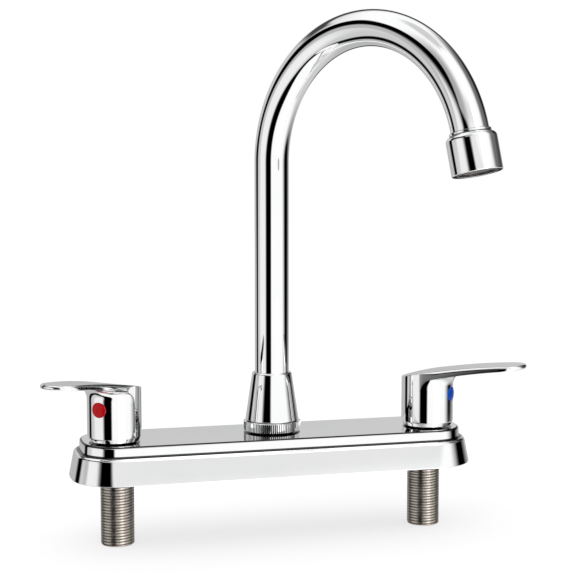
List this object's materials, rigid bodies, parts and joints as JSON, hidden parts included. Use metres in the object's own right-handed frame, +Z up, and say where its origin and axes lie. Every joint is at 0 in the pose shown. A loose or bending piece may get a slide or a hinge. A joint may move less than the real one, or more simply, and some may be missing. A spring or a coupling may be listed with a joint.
{
  "type": "two handle kitchen faucet",
  "caption": "Deck mounted kitchen faucet: stepped chrome plate, lever handles at both ends, swivelling gooseneck spout with aerator, threaded shanks below.",
  "frame": {"origin": "centre of the deck plate's underside, on the plane that rests on the sink", "axes": "+X along the deck to the cold side, +Y to the back of the sink, +Z up"},
  "size_m": [0.3092, 0.1878, 0.3289],
  "materials": {
    "polished_chrome": "mirror polished chrome plate",
    "nickel_plate": "nickel plated thread, slightly warm",
    "brass": "machined",
    "steel": "plain",
    "screen_steel": "woven look, dull",
    "black_rubber": "matt",
    "white_plastic": "moulded",
    "ceramic": "lapped alumina",
    "red_plastic": "gloss, plain",
    "blue_plastic": "gloss, plain"
  },
  "bodies": {
    "faucet_body": {"deck_plate": "polished_chrome", "base_gasket": "black_rubber", "hot_cross_tube": "brass", "cold_cross_tube": "brass", "spout_post": "brass", "spout_nut": "polished_chrome", "hot_shank": "nickel_plate", "hot_valve_body": "brass", "hot_bonnet_nut": "brass", "hot_cartridge_body": "brass", "hot_cartridge_seal": "black_rubber", "hot_seat_seal": "black_rubber", "hot_fixed_disc": "ceramic", "cold_shank": "nickel_plate", "cold_valve_body": "brass", "cold_bonnet_nut": "brass", "cold_cartridge_body": "brass", "cold_cartridge_seal": "black_rubber", "cold_seat_seal": "black_rubber", "cold_fixed_disc": "ceramic"},
    "hot_lever": {"hot_moving_disc": "ceramic", "hot_stem": "brass", "hot_stem_seal": "black_rubber", "hot_handle": "polished_chrome", "hot_index_plug": "red_plastic", "hot_set_screw": "steel"},
    "cold_lever": {"cold_moving_disc": "ceramic", "cold_stem": "brass", "cold_stem_seal": "black_rubber", "cold_handle": "polished_chrome", "cold_index_plug": "blue_plastic", "cold_set_screw": "steel"},
    "spout": {"spout_tube": "polished_chrome", "spout_cone": "polished_chrome", "spout_ferrule": "brass", "spout_slip_ring": "white_plastic", "spout_lower_seal": "black_rubber", "spout_upper_seal": "black_rubber", "aerator_adapter": "polished_chrome", "aerator_housing": "polished_chrome", "aerator_washer": "black_rubber", "flow_regulator": "white_plastic", "aerator_insert": "white_plastic", "aerator_screen": "screen_steel"}
  },
  "joints": [
    {"name": "hot_turn", "type": "hinge", "parent": "faucet_body", "child": "hot_lever", "pos_m": [-0.1016, -0.0035, 0.04], "axis": [0, 0, 1], "range_deg": [-47.5, 42.5]},
    {"name": "cold_turn", "type": "hinge", "parent": "faucet_body", "child": "cold_lever", "pos_m": [0.1016, -0.0035, 0.04], "axis": [0, 0, 1], "range_deg": [-49, 41]},
    {"name": "spout_swivel", "type": "hinge", "parent": "faucet_body", "child": "spout", "pos_m": [0, 0.0025, 0.03], "axis": [0, 0, 1], "continuous": true}
  ]
}
